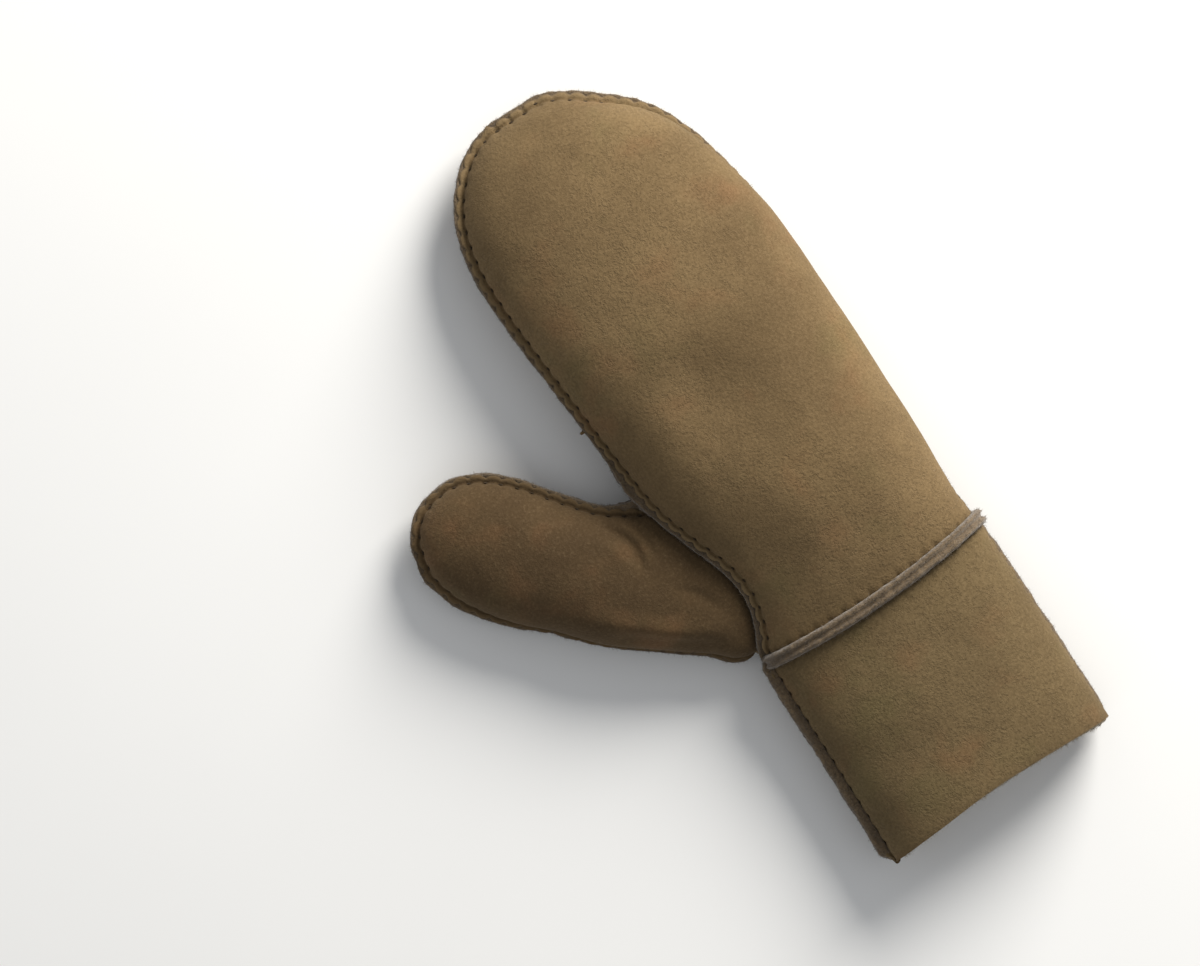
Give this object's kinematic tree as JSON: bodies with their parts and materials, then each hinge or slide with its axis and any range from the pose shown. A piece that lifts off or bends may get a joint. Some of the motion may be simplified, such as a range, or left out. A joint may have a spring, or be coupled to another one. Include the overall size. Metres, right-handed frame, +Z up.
{
  "type": "sheepskin mitten",
  "caption": "Right-hand shearling mitten, suede outside and wool inside, with a separate thumb, a straight cuff and raised raw-edge seams, lying palm down.",
  "frame": {"origin": "middle of the outline, on the surface that the palm lies on", "axes": "+Y to the fingertips, +X to the little finger's side, +Z up through the back of the hand"},
  "size_m": [0.1875, 0.3115, 0.0462],
  "materials": {
    "suede": "napped suede, matte, mottled sand brown",
    "cuff_suede": "napped suede, matte, sand brown",
    "wool": "clipped sheep's wool, matte, greyish taupe"
  },
  "bodies": {
    "root": {"cuff_back": "cuff_suede", "cuff_palm": "cuff_suede", "palm_panel": "suede", "web_gusset": "suede", "thumb_palm": "suede", "thumb_back": "suede", "back_panel": "suede", "wrist_seam": "wool", "hand_seam": "wool", "thumb_seam": "wool", "cuff_seam_thumb_side": "wool", "cuff_seam_finger_side": "wool", "palm_seam": "wool", "web_seam": "wool"}
  },
  "joints": []
}
